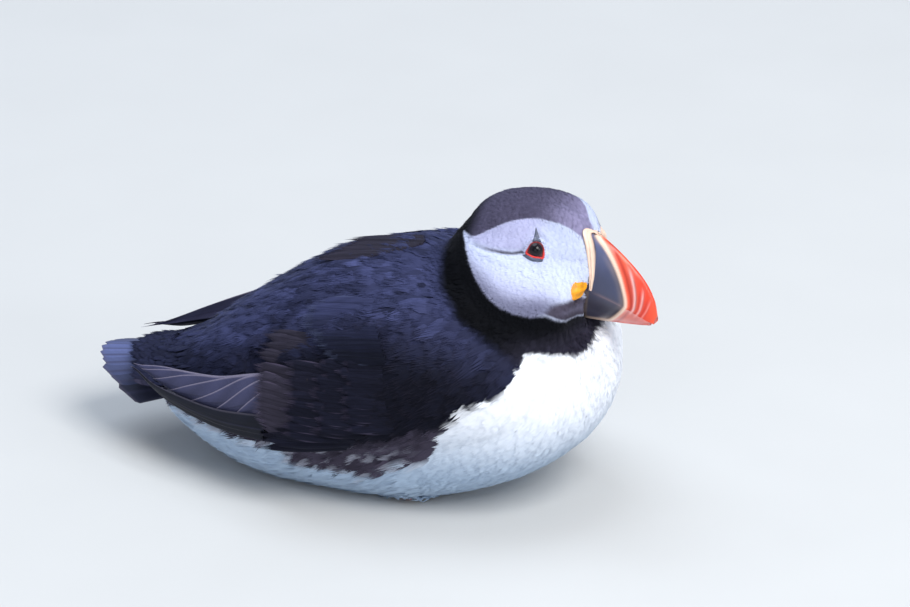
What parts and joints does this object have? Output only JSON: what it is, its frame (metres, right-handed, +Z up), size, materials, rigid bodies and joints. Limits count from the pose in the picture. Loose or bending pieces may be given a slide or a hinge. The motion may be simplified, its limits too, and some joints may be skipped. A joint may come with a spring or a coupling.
{
  "type": "atlantic puffin",
  "caption": "Life-size seabird resting on its belly with folded wings, a short tail fan, a deep banded bill and its head turned slightly to its right.",
  "frame": {"origin": "centre of the bird's bounding box, on the surface it rests on", "axes": "+X from tail to breast, +Y towards the bird's left side, +Z up"},
  "size_m": [0.223, 0.1092, 0.1201],
  "materials": {
    "plumage": "dense soft contour feathers, blue-black above and white below",
    "collar_plumage": "short dense black feathers",
    "face_plumage": "very short sleek feathers, pale grey-white cheeks under a dark crown",
    "flight_feathers": "smooth stiff dark vanes with a satin sheen",
    "leg_skin": "soft scaly orange-red skin with dark claws",
    "bill_horn": "smooth horn: slate base, pale ridge, orange-red tip with shallow grooves",
    "eye": "wet dark cornea",
    "eye_plate_horn": "blue-grey horny plate",
    "gape_skin": "wrinkled yellow-orange bare skin"
  },
  "bodies": {
    "root": {"trunk": "plumage", "neck": "collar_plumage", "head": "face_plumage", "tail": "flight_feathers", "wing_right": "flight_feathers", "wing_left": "flight_feathers", "leg_right": "leg_skin", "leg_left": "leg_skin", "bill_upper": "bill_horn", "bill_lower": "bill_horn", "eye_right": "eye", "eye_left": "eye", "eye_plate_upper_right": "eye_plate_horn", "eye_plate_upper_left": "eye_plate_horn", "eye_plate_lower_right": "eye_plate_horn", "eye_plate_lower_left": "eye_plate_horn", "gape_rosette_right": "gape_skin", "gape_rosette_left": "gape_skin"}
  },
  "joints": []
}
